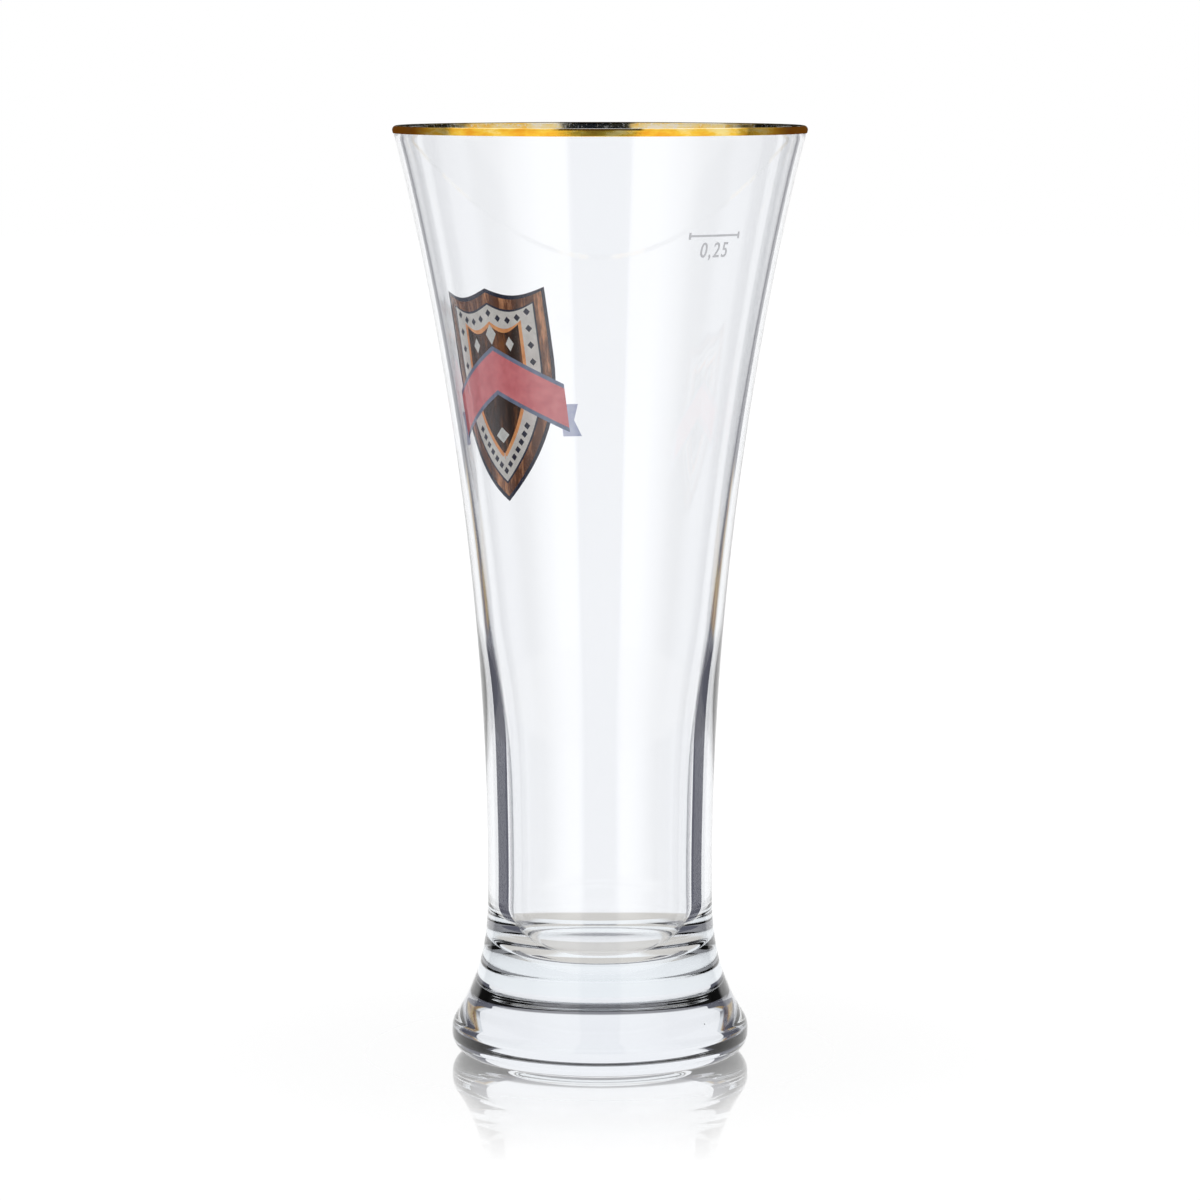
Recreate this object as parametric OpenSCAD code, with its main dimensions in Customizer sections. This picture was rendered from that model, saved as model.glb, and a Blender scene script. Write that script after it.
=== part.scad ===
// Flared beer glass: a blown bowl on a heavy solid foot, with a gilt rim, a fill line
// and a fired enamel emblem.
// Millimetres, +Z up. The origin is the centre of the ring that the glass stands on,
// and the front of the glass faces -Y.

/* [Outside of the glass] */
// Height of the glass from the table to the top of the rim
glass_h = 180.9; // [168:0.1:198]
// Outer radius that the plain curve of the wall would reach at the very top
rim_r = 39.9; // [36:0.1:44]
// Outer radius at the narrowest place, above the foot
waist_r = 21.9; // [19:0.1:24]
// Height of the narrowest place above the table
waist_z = 34.9; // [31:0.1:40]
// How late the bowl opens towards the rim, where 1 is a straight cone
bowl_curve_power = 1.95; // [1.5:0.05:2.4]

/* [Inside of the glass] */
// Thickness of the wall under the rim
wall_top = 1.5; // [1.1:0.05:2]
// Thickness that the upper wall would reach at the waist
wall_mid = 4.4; // [3.4:0.05:5.2]
// How soon the upper wall thins towards the rim, where 1 is an even taper
wall_taper_power = 2.8; // [2:0.1:3.6]
// Thickness of the wall low in the bowl
wall_low = 4.3; // [3.4:0.05:5]
// Height above the table where the low wall starts to thin into the upper wall
wall_step_z = 50; // [44:0.5:56]
// Height over which it thins
wall_step_h = 35; // [28:0.5:42]
// Thickness of the bowl's own bottom above the foot
bottom_t = 4; // [3:0.1:6]
// Width of the rounding inside, between wall and bottom
floor_corner_w = 5; // [3:0.1:7]
// Height of that rounding
floor_corner_h = 10; // [6:0.1:14]
// How far the middle of the inside bottom is dished
floor_dish = 0.6; // [0.2:0.1:1.5]

/* [Foot] */
// Height of the foot up to the joint where it is fused to the bowl
foot_h = 15.5; // [13.5:0.1:18]
// Largest radius of the foot
foot_r = 29; // [27:0.1:32]
// Radius of the rounding over the edge of the foot
foot_edge_r = 4.4; // [3:0.1:5.5]
// Radius of the rounding under the edge of the foot
foot_under_r = 4; // [2.8:0.1:4.2]
// Height of the upright band between the two roundings
foot_band_h = 0.8; // [0.3:0.1:1.5]
// Slope of the flare where it meets the rounded edge, in degrees from upright
foot_lip_angle = 33; // [28:1:42]
// Width of the flat ring that the glass stands on
stand_ring_w = 2.5; // [1.5:0.1:4]
// Depth of the slight hollow under the foot
hollow_h = 0.3; // [0.1:0.05:0.8]

/* [Rim] */
// How far the wall flares out at the rim beyond its plain curve
rim_flare = 0.2; // [0.1:0.02:0.4]
// Height under the rim over which it flares
rim_flare_h = 14; // [8:0.5:18]
// Thickness of the fired gold
gilding_t = 0.12; // [0.08:0.01:0.2]
// How far the gold reaches down the outside, below the rounding of the lip
gilding_reach = 0.45; // [0.3:0.05:1.2]
// Where the gold ends inside, in degrees over the lip from level on the outside
gilding_end_angle = 138; // [110:1:150]

/* [Fill line] */
// Distance of the fill line below the top of the rim
fill_line_drop = 20; // [17:0.5:28]
// Length of the fill line along the glass
fill_line_w = 12.1; // [8:0.1:16]
// Thickness of the stroke
fill_stroke_w = 0.4; // [0.3:0.05:0.6]
// Height of the upright tick at each end of the line
fill_tick_h = 1.3; // [1:0.1:2]
// Direction that the fill line faces, in degrees from +X
fill_line_angle = -52.2; // [-70:0.1:-30]

/* [Emblem] */
// Width of the shield
emblem_w = 30; // [26:0.5:34]
// Height of the shield
emblem_h = 42; // [38:0.5:46]
// Distance of the middle of the shield below the top of the rim
emblem_drop = 53.6; // [46:0.1:62]
// Direction that the emblem faces, in degrees from +X
emblem_angle = 136.5; // [120:0.5:150]
// Depth of the two scallops along the top of the shield
scallop_h = 1.6; // [1:0.1:2.4]
// Thickness of the fired enamel
enamel_t = 0.12; // [0.08:0.01:0.2]
// Width of the dark outline
outline_w = 0.8; // [0.5:0.05:1.1]
// Width of the copper border
copper_w = 2; // [1.5:0.1:2.6]
// Width of the dark line between the copper and the cream
inner_line_w = 0.4; // [0.3:0.05:0.6]
// Width of the cream border
cream_w = 3.3; // [2.8:0.1:3.8]
// Width of the orange line round the field
orange_w = 0.8; // [0.5:0.05:1.1]
// Half the width of the dark diamonds in the cream border
stud_r = 0.75; // [0.5:0.05:0.95]

/* [Chevron and tabs] */
// Upright width of the chevron, edging included
chevron_w = 9.6; // [8:0.1:11]
// How far the point of the chevron stands above its two ends
chevron_rise = 8; // [6:0.1:10]
// How far the chevron reaches past the shield on each side
chevron_overhang = 1.4; // [0.8:0.1:2]
// Width of the slate edging along the chevron
edging_w = 0.9; // [0.6:0.1:1.2]
// How far the lilac tabs reach past the chevron on each side
tab_reach = 2.4; // [1.5:0.1:3]
// Height of the lilac tabs at their outer end
tab_h = 6.4; // [5:0.1:7.5]

/* [Hidden] */

// Steps of the revolve and of each curve
$fn = 120;
bowl_steps = 26;
neck_steps = 9;
corner_steps = 10;
dish_steps = 6;
gilt_arc_steps = 14;
bare_arc_steps = 4;
flare_steps = 8;
lip_steps = 5;
under_steps = 8;
side_steps = 16;
scallop_steps = 20;
// Overrun of a cut past the surface that it cuts
cut_overrun = 1;

// Height of the widest place of the foot above the table
foot_widest_z = foot_under_r + foot_band_h;
// Where the flare of the foot runs into the rounding of its edge
lip_join_r = foot_r - foot_edge_r + foot_edge_r * cos(foot_lip_angle);
lip_join_z = foot_widest_z + foot_edge_r * sin(foot_lip_angle);
// Power of the flare that makes it meet the rounding without a corner
foot_curve_power = tan(foot_lip_angle) * (waist_z - lip_join_z) / (lip_join_r - waist_r);
// Ring that the glass stands on, from its outer edge to its inner edge
contact_r = foot_r - foot_under_r;
hollow_r = contact_r - stand_ring_w;
// Inside bottom of the bowl at its edge
floor_z = foot_h + bottom_t;
// Lean of the wall at the rim, in degrees from upright
rim_slope = (rim_r - waist_r) * bowl_curve_power / (glass_h - waist_z) + rim_flare / rim_flare_h * 2;
rim_tilt = atan(rim_slope);
// Half round that ends the wall, square to its lean, from its outer end to its inner end
rim_round_r = wall_top * cos(rim_tilt) / 2;
rim_mid_z = glass_h - rim_round_r;
rim_outer_z = rim_mid_z - rim_round_r * sin(rim_tilt);
rim_inner_z = rim_mid_z + rim_round_r * sin(rim_tilt);
rim_mid_r = bowl_r(rim_outer_z) - rim_round_r * cos(rim_tilt);
// Lower edge of the gold on the outside
gilding_low_z = rim_outer_z - gilding_reach;
// Heights of the fill line and of the middle of the shield
fill_line_z = glass_h - fill_line_drop;
emblem_z = glass_h - emblem_drop;

// Outer radius of the bowl above the waist and of the flare below it
function bowl_r(z) = waist_r + (rim_r - waist_r) * pow((z - waist_z) / (glass_h - waist_z), bowl_curve_power)
    + rim_flare * pow(max(0, z - glass_h + rim_flare_h) / rim_flare_h, 2);
function flare_r(z) = waist_r + (lip_join_r - waist_r) * pow((waist_z - z) / (waist_z - lip_join_z), foot_curve_power);
function outer_r(z) = z < waist_z ? flare_r(z) : bowl_r(z);
// Thickness of the upper wall, and the share of it in the wall as the low wall passes into it
function upper_t(z) = wall_top + (wall_mid - wall_top) * pow((glass_h - z) / (glass_h - waist_z), wall_taper_power);
function step_share(z) = z < wall_step_z ? 0 : z > wall_step_z + wall_step_h ? 1
    : (1 - cos(180 * (z - wall_step_z) / wall_step_h)) / 2;
function wall_t(z) = wall_low + (upper_t(z) - wall_low) * step_share(z);
function inner_r(z) = outer_r(z) - wall_t(z);

// Even steps from one value to another, both ends included
function steps_from(a, b, n) = [for (i = [0:n]) a + (b - a) * i / n];
// Points of an arc about a middle, from angle a to angle b
function arc_points(mid_r, mid_z, r, a, b, n) = [for (t = steps_from(a, b, n)) [mid_r + r * cos(t), mid_z + r * sin(t)]];

bowl_heights = steps_from(waist_z, gilding_low_z, bowl_steps);
neck_heights = steps_from(foot_h, waist_z, neck_steps);
corner_top_z = floor_z + floor_corner_h;
corner_mid_r = inner_r(corner_top_z) - floor_corner_w;
inner_heights = steps_from(corner_top_z, rim_inner_z, bowl_steps);
flare_heights = steps_from(foot_h, lip_join_z, flare_steps);

floor_points = [for (r = steps_from(0, corner_mid_r, dish_steps))
    [r, floor_z - floor_dish * (1 - pow(r / corner_mid_r, 2))]];
corner_points = [for (t = steps_from(-90, 0, corner_steps))
    [corner_mid_r + floor_corner_w * cos(t), corner_top_z + floor_corner_h * sin(t)]];
inner_points = [for (z = inner_heights) [inner_r(z), z]];
bare_arc = arc_points(rim_mid_r, rim_mid_z, rim_round_r, 180 - rim_tilt, gilding_end_angle, bare_arc_steps);
gilt_arc = arc_points(rim_mid_r, rim_mid_z, rim_round_r, gilding_end_angle, -rim_tilt, gilt_arc_steps);
bowl_points = [for (z = bowl_heights) [bowl_r(z), z]];
neck_points = [for (z = neck_heights) [outer_r(z), z]];

// The list without its first entry, for joining two runs that share a point
function rest_of(list) = [for (i = [1:len(list) - 1]) list[i]];
// The same list from its last entry to its first
function reversed(list) = [for (i = [len(list) - 1:-1:0]) list[i]];

module bowl() {
    color([0.86, 0.9, 0.94, 0.35])
    rotate_extrude()
    polygon(concat(
        [[0, foot_h]],
        floor_points,
        rest_of(corner_points),
        rest_of(inner_points),
        rest_of(bare_arc),
        rest_of(gilt_arc),
        reversed(rest_of(bowl_points)),
        reversed(neck_points)
    ));
}

module foot() {
    color([0.84, 0.88, 0.92, 0.4])
    rotate_extrude()
    polygon(concat(
        [[0, foot_h]],
        [for (z = flare_heights) [outer_r(z), z]],
        rest_of(arc_points(foot_r - foot_edge_r, foot_widest_z, foot_edge_r, foot_lip_angle, 0, lip_steps)),
        arc_points(contact_r, foot_under_r, foot_under_r, 0, -90, under_steps),
        [for (r = steps_from(hollow_r, 0, dish_steps)) [r, hollow_h * (1 - pow(r / hollow_r, 2))]]
    ));
}

module rim_gilding() {
    color([0.9, 0.66, 0.2])
    rotate_extrude()
    polygon(concat(
        gilt_arc,
        [[bowl_r(gilding_low_z), gilding_low_z]],
        [[bowl_r(gilding_low_z) + gilding_t / cos(rim_tilt), gilding_low_z]],
        arc_points(rim_mid_r, rim_mid_z, rim_round_r + gilding_t, -rim_tilt, gilding_end_angle, gilt_arc_steps)
    ));
}

// A skin of even thickness on the outside of the bowl, between two heights
module skin(low_z, high_z, t) {
    heights = [for (i = [0:bowl_steps])
        if (bowl_heights[min(i + 1, bowl_steps)] > low_z && bowl_heights[max(i - 1, 0)] < high_z) bowl_heights[i]];
    rotate_extrude()
    polygon(concat(
        [for (z = heights) [bowl_r(z), z]],
        reversed([for (z = heights) [bowl_r(z) + t, z]])
    ));
}

// What a flat print leaves on the skin when it is laid on the bowl, facing one way.
// The print's middle is at the given height.
module laid_on(angle, mid_z, half_h) {
    intersection() {
        skin(mid_z - half_h, mid_z + half_h, enamel_t);
        rotate([0, 0, angle])
        translate([0, 0, mid_z])
        rotate([90, 0, 90])
        linear_extrude(height = rim_r + cut_overrun)
        children();
    }
}

// A point of the flat print, drawn in where the bowl curves away from the viewer
function wrapped(p, mid_z) = [bowl_r(mid_z) * sin(p[0] / bowl_r(mid_z) * 180 / PI), p[1]];
module print_polygon(points, mid_z) {
    polygon([for (p = points) wrapped(p, mid_z)]);
}

fill_half_w = fill_line_w / 2;
fill_half_stroke = fill_stroke_w / 2;
fill_half_tick = fill_tick_h / 2;
// One quarter of the outline of the line with its two end ticks
fill_quarter = [
    [fill_half_w - fill_stroke_w, fill_half_stroke],
    [fill_half_w - fill_stroke_w, fill_half_tick],
    [fill_half_w, fill_half_tick]
];
// A quarter outline carried round all four quarters
function four_quarters(q) = concat(
    q,
    reversed([for (p = q) [p[0], -p[1]]]),
    [for (p = q) [-p[0], -p[1]]],
    reversed([for (p = q) [-p[0], p[1]]])
);

module fill_line() {
    color([0.93, 0.94, 0.95])
    laid_on(fill_line_angle, fill_line_z, fill_tick_h)
    print_polygon(four_quarters(fill_quarter), fill_line_z);
}

// The shield has straight sides above and two arcs below that meet in a point.
// Each arc is centred on the far side, so a border of even width is an arc of less radius.
emblem_half_w = emblem_w / 2;
emblem_top = emblem_h / 2;
side_share = 0.34;
side_end_y = emblem_top - emblem_h * side_share;
tip_drop = side_end_y + emblem_top;
side_arc_r = (pow(tip_drop, 2) + pow(emblem_half_w, 2)) / emblem_w;

// Height of the scalloped top of the shield at x, for a border at some depth
function top_y(x, depth) = emblem_top - depth - scallop_h * sin(180 * abs(x) / (emblem_half_w - depth));
function tip_angle(depth) = acos((side_arc_r - emblem_half_w) / (side_arc_r - depth));
function side_points(depth) = arc_points(emblem_half_w - side_arc_r, side_end_y, side_arc_r - depth,
    0, -tip_angle(depth), side_steps);
function shield_points(depth) = concat(
    [for (x = steps_from(-(emblem_half_w - depth), emblem_half_w - depth, scallop_steps)) [x, top_y(x, depth)]],
    side_points(depth),
    [for (p = rest_of(reversed(side_points(depth)))) [-p[0], p[1]]]
);

copper_depth = outline_w;
inner_line_depth = copper_depth + copper_w;
cream_depth = inner_line_depth + inner_line_w;
orange_depth = cream_depth + cream_w;
field_depth = orange_depth + orange_w;
stud_depth = cream_depth + cream_w / 2;

module shield(depth) {
    print_polygon(shield_points(depth), emblem_z);
}

module border(depth, w) {
    difference() {
        shield(depth);
        shield(depth + w);
    }
}

// The chevron's middle line falls from its point to both sides
chevron_mid_share = 0.02;
chevron_end_x = emblem_half_w + chevron_overhang;
chevron_low = emblem_h * chevron_mid_share - chevron_rise / 2;
function chevron_y(x) = chevron_low + chevron_rise * (1 - abs(x) / chevron_end_x);

// A bent band about the chevron's middle line, between two heights off it
module chevron_band(low, high) {
    xs = steps_from(-chevron_end_x, chevron_end_x, scallop_steps);
    print_polygon(concat(
        [for (x = xs) [x, chevron_y(x) + low]],
        reversed([for (x = xs) [x, chevron_y(x) + high]])
    ), emblem_z);
}

module whole_chevron() {
    chevron_band(-chevron_w / 2, chevron_w / 2);
}

// Small diamonds follow the middle of the cream border in three runs: along the top, down each side
// to the chevron, and from the chevron round to the tip
stud_sides = 4;
stud_top_count = 8;
stud_upper_count = 3;
stud_lower_count = 6;
stud_edge_x = emblem_half_w - stud_depth;
stud_arc_r = side_arc_r - stud_depth;
stud_gap = chevron_w / 2 + stud_r * 2;
stud_upper_end = chevron_y(stud_edge_x) + stud_gap;
stud_lower_angle = asin((side_end_y - chevron_y(stud_edge_x) + stud_gap) / stud_arc_r);
stud_top_xs = steps_from(-stud_edge_x, stud_edge_x, stud_top_count);
stud_upper_ys = steps_from(top_y(stud_edge_x, stud_depth), stud_upper_end, stud_upper_count);
stud_lower = arc_points(emblem_half_w - side_arc_r, side_end_y, stud_arc_r,
    -stud_lower_angle, -tip_angle(stud_depth), stud_lower_count);
stud_places = concat(
    [for (x = stud_top_xs) [x, top_y(x, stud_depth)]],
    [for (y = rest_of(stud_upper_ys), side = [-1, 1]) [side * stud_edge_x, y]],
    [for (i = [0:stud_lower_count - 1], side = [-1, 1]) [side * stud_lower[i][0], stud_lower[i][1]]],
    [stud_lower[stud_lower_count]]
);

module studs() {
    for (p = stud_places)
        translate(wrapped(p, emblem_z))
        circle(r = stud_r, $fn = stud_sides);
}

// Lozenges in the field, as shares of the shield's width and height from its middle
lozenge_place_shares = [[0, 0.285], [-0.165, 0.235], [0.165, 0.235], [0, -0.19], [0, -0.3]];
lozenge_size_shares = [[0.1, 0.1], [0.07, 0.07], [0.07, 0.07], [0.13, 0.075], [0.07, 0.055]];

module lozenges() {
    for (i = [0:len(lozenge_place_shares) - 1]) {
        x = lozenge_place_shares[i][0] * emblem_w;
        y = lozenge_place_shares[i][1] * emblem_h;
        half_w = lozenge_size_shares[i][0] * emblem_w / 2;
        half_h = lozenge_size_shares[i][1] * emblem_h / 2;
        print_polygon([[x - half_w, y], [x, y - half_h], [x + half_w, y], [x, y + half_h]], emblem_z);
    }
}

// A tab looks out from behind each end of the chevron, with a notched outer end
tab_start_x = emblem_half_w;
tab_end_x = chevron_end_x + tab_reach;
tab_mid_y = chevron_low - chevron_w / 4;
module tab(side) {
    difference() {
        print_polygon([
            [side * tab_start_x, tab_mid_y - tab_h / 2],
            [side * tab_end_x, tab_mid_y - tab_h / 2],
            [side * (tab_end_x - tab_reach / 2), tab_mid_y],
            [side * tab_end_x, tab_mid_y + tab_h / 2],
            [side * tab_start_x, tab_mid_y + tab_h / 2]
        ], emblem_z);
        shield(0);
        whole_chevron();
    }
}

module on_bowl() {
    laid_on(emblem_angle, emblem_z, emblem_h / 2) children();
}

module emblem_navy() {
    color([0.1, 0.12, 0.2])
    on_bowl() {
        difference() {
            border(0, outline_w);
            whole_chevron();
        }
        difference() {
            border(inner_line_depth, inner_line_w);
            whole_chevron();
        }
        studs();
    }
}

module emblem_copper() {
    color([0.48, 0.27, 0.15])
    on_bowl()
    difference() {
        border(copper_depth, copper_w);
        whole_chevron();
    }
}

module emblem_cream() {
    color([0.84, 0.83, 0.8])
    on_bowl()
    difference() {
        border(cream_depth, cream_w);
        whole_chevron();
        studs();
    }
}

module emblem_orange() {
    color([0.9, 0.55, 0.3])
    on_bowl()
    difference() {
        border(orange_depth, orange_w);
        whole_chevron();
    }
}

module emblem_brown() {
    color([0.22, 0.12, 0.08])
    on_bowl()
    difference() {
        shield(field_depth);
        whole_chevron();
        lozenges();
    }
}

module emblem_lozenges() {
    color([0.86, 0.8, 0.7])
    on_bowl()
    lozenges();
}

module emblem_pink() {
    color([0.85, 0.42, 0.45])
    on_bowl()
    chevron_band(edging_w - chevron_w / 2, chevron_w / 2 - edging_w);
}

module emblem_slate() {
    color([0.4, 0.44, 0.6])
    on_bowl() {
        chevron_band(-chevron_w / 2, edging_w - chevron_w / 2);
        chevron_band(chevron_w / 2 - edging_w, chevron_w / 2);
    }
}

module emblem_lilac() {
    color([0.62, 0.67, 0.86])
    on_bowl() {
        tab(-1);
        tab(1);
    }
}

bowl();
foot();
rim_gilding();
fill_line();
emblem_navy();
emblem_copper();
emblem_cream();
emblem_orange();
emblem_brown();
emblem_lozenges();
emblem_pink();
emblem_slate();
emblem_lilac();
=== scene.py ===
import math

import bpy
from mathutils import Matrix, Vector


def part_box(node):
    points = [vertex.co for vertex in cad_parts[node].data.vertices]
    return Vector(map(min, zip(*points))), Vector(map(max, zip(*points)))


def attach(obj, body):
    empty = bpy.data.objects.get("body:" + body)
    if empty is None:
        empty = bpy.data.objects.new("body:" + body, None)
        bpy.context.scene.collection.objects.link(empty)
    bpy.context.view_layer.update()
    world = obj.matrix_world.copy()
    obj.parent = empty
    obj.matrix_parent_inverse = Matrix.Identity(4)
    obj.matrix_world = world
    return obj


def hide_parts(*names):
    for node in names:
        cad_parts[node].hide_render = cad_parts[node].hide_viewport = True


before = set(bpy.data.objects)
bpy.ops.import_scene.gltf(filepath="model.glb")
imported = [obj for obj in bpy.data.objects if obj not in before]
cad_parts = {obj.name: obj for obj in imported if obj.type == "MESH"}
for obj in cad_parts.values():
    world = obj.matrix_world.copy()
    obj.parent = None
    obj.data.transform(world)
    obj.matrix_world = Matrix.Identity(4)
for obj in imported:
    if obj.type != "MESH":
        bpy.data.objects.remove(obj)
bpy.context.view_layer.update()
mm = 0.001
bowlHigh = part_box("bowl")[1]
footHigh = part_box("foot")[1]
print("frame loaded:", len(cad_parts), "nodes")


# small helpers

def pickNothing():
    if bpy.context.object and bpy.context.object.mode != "OBJECT":
        bpy.ops.object.mode_set(mode="OBJECT")
    bpy.ops.object.select_all(action="DESELECT")


def pick(piece):
    pickNothing()
    piece.select_set(True)
    bpy.context.view_layer.objects.active = piece


def evenSteps(start, end, count):
    return [start + (end - start) * i / count for i in range(count + 1)]


def arcPoints(midR, midZ, radius, start, end, count):
    return [(midR + radius * math.cos(math.radians(a)), midZ + radius * math.sin(math.radians(a)))
            for a in evenSteps(start, end, count)]


def newMaterial(name):
    material = bpy.data.materials.new(name)
    material.use_nodes = True
    tree = material.node_tree
    return material, tree, tree.nodes["Principled BSDF"]


# A number is set on the socket itself, and an output is linked to it.
def feed(tree, socket, value):
    if isinstance(value, bpy.types.NodeSocket):
        tree.links.new(value, socket)
    else:
        socket.default_value = value


def calc(tree, operation, first, second=0.0):
    node = tree.nodes.new("ShaderNodeMath")
    node.operation = operation
    feed(tree, node.inputs[0], first)
    feed(tree, node.inputs[1], second)
    return node.outputs[0]


def rise(tree, value, start, end):
    node = tree.nodes.new("ShaderNodeMapRange")
    node.interpolation_type = "SMOOTHSTEP"
    feed(tree, node.inputs["Value"], value)
    node.inputs["From Min"].default_value = start
    node.inputs["From Max"].default_value = end
    return node.outputs["Result"]


def fall(tree, value, start, end):
    return calc(tree, "SUBTRACT", 1, rise(tree, value, start, end))


# Inputs 6 and 7 and output 2 of a mix node are the ones for colours.
def blendColour(tree, share, first, second):
    node = tree.nodes.new("ShaderNodeMix")
    node.data_type = "RGBA"
    feed(tree, node.inputs["Factor"], share)
    feed(tree, node.inputs[6], first if isinstance(first, bpy.types.NodeSocket) else (*first, 1))
    feed(tree, node.inputs[7], second if isinstance(second, bpy.types.NodeSocket) else (*second, 1))
    return node.outputs[2]


def blendShader(tree, share, first, second):
    node = tree.nodes.new("ShaderNodeMixShader")
    feed(tree, node.inputs[0], share)
    tree.links.new(first, node.inputs[1])
    tree.links.new(second, node.inputs[2])
    return node.outputs[0]


def curveOf(tree, value, stops):
    node = tree.nodes.new("ShaderNodeValToRGB")
    ramp = node.color_ramp
    while len(ramp.elements) > 1:
        ramp.elements.remove(ramp.elements[-1])
    ramp.elements[0].position = stops[0][0]
    ramp.elements[0].color = (*stops[0][1], 1)
    for place, colour in stops[1:]:
        ramp.elements.new(place).color = (*colour, 1)
    feed(tree, node.inputs[0], value)
    return node.outputs["Color"]


def grey(value):
    return (value, value, value)


# Noise in the object's own metres, with the repeat per metre along x, y and z
def noiseOf(tree, perMetre, detail=3.0, roughness=0.5):
    coords = tree.nodes.new("ShaderNodeTexCoord")
    place = tree.nodes.new("ShaderNodeMapping")
    place.inputs["Scale"].default_value = perMetre
    tree.links.new(coords.outputs["Object"], place.inputs["Vector"])
    noise = tree.nodes.new("ShaderNodeTexNoise")
    noise.inputs["Scale"].default_value = 1
    noise.inputs["Detail"].default_value = detail
    noise.inputs["Roughness"].default_value = roughness
    tree.links.new(place.outputs[0], noise.inputs["Vector"])
    return noise.outputs["Fac"]


# How far a face looks away from the axis of the glass: 1 outward, -1 inward
def outwardness(tree, coords, split):
    flat = tree.nodes.new("ShaderNodeCombineXYZ")
    tree.links.new(split.outputs["X"], flat.inputs["X"])
    tree.links.new(split.outputs["Y"], flat.inputs["Y"])
    outward = tree.nodes.new("ShaderNodeVectorMath")
    outward.operation = "NORMALIZE"
    tree.links.new(flat.outputs[0], outward.inputs[0])
    facing = tree.nodes.new("ShaderNodeVectorMath")
    facing.operation = "DOT_PRODUCT"
    tree.links.new(coords.outputs["Normal"], facing.inputs[0])
    tree.links.new(outward.outputs[0], facing.inputs[1])
    return facing.outputs["Value"]


def roughen(tree, shader, height, strength, distance):
    bump = tree.nodes.new("ShaderNodeBump")
    bump.inputs["Strength"].default_value = strength
    bump.inputs["Distance"].default_value = distance
    tree.links.new(height, bump.inputs["Height"])
    tree.links.new(bump.outputs[0], shader.inputs["Normal"])


def dress(piece, material):
    piece.data.materials.clear()
    piece.data.materials.append(material)
    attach(piece, "root")


# the outline of the glass

# The wall is wallLow thick up to stepStart. Above stepEnd it thins from wallMid, at the waist, to wallTop.
glassForm = {
    "height": bowlHigh.z,
    "rimRadius": 39.9 * mm,
    "waistRadius": 21.9 * mm,
    "waistHeight": 34.9 * mm,
    "bowlCurvePower": 1.95,
    "lipFlare": 0.2 * mm,
    "lipHeight": 14 * mm,
    "wallTop": 1.5 * mm,
    "wallMid": 4.4 * mm,
    "wallTaperPower": 2.8,
    "wallLow": 4.3 * mm,
    "stepStart": 50 * mm,
    "stepEnd": 85 * mm,
    "floorHeight": 19.5 * mm,
    "cornerWidth": 5 * mm,
    "cornerHeight": 10 * mm,
    "floorDish": 0.6 * mm,
    "footRadius": footHigh.x,
    "footEdge": 4.4 * mm,
    "footUnder": 4 * mm,
    "footWidest": 4.8 * mm,
    "footLipAngle": 33,
    "hollowRadius": 22.5 * mm,
    "hollowHeight": 0.3 * mm,
    "floorSteps": 16,
    "cornerSteps": 26,
    "innerSteps": 90,
    "rimSteps": 20,
    "outerSteps": 110,
    "edgeSteps": 14,
    "underSteps": 24,
    "hollowSteps": 24,
    "turns": 256,
    "weldWithin": 0.002 * mm,
    "closeWithin": 0.001 * mm,
}
g = glassForm
lipR = g["footRadius"] - g["footEdge"] * (1 - math.cos(math.radians(g["footLipAngle"])))
lipZ = g["footWidest"] + g["footEdge"] * math.sin(math.radians(g["footLipAngle"]))
lipSlope = math.tan(math.radians(g["footLipAngle"]))
flarePower = lipSlope * (g["waistHeight"] - lipZ) / (lipR - g["waistRadius"])


def outerR(z):
    if z < g["waistHeight"]:
        low = (g["waistHeight"] - z) / (g["waistHeight"] - lipZ)
        return g["waistRadius"] + (lipR - g["waistRadius"]) * low ** flarePower
    high = (z - g["waistHeight"]) / (g["height"] - g["waistHeight"])
    nearRim = max(0, z - g["height"] + g["lipHeight"]) / g["lipHeight"]
    return (g["waistRadius"] + (g["rimRadius"] - g["waistRadius"]) * high ** g["bowlCurvePower"]
            + g["lipFlare"] * nearRim ** 2)


def wallT(z):
    low = (g["height"] - z) / (g["height"] - g["waistHeight"])
    upper = g["wallTop"] + (g["wallMid"] - g["wallTop"]) * low ** g["wallTaperPower"]
    step = min(max((z - g["stepStart"]) / (g["stepEnd"] - g["stepStart"]), 0), 1)
    return g["wallLow"] + (upper - g["wallLow"]) * (1 - math.cos(math.pi * step)) / 2


def innerR(z):
    return outerR(z) - wallT(z)


# The wall ends in a half round that is set square to the slope of the wall.
rimSlope = (outerR(g["height"]) - outerR(g["height"] - mm)) / mm
rimTilt = math.degrees(math.atan(rimSlope))
rimRound = g["wallTop"] * math.cos(math.radians(rimTilt)) / 2
rimMidZ = g["height"] - rimRound
rimEndOut = rimMidZ - rimRound * math.sin(math.radians(rimTilt))
rimEndIn = rimMidZ + rimRound * math.sin(math.radians(rimTilt))
rimMidR = outerR(rimEndOut) - rimRound * math.cos(math.radians(rimTilt))


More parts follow.
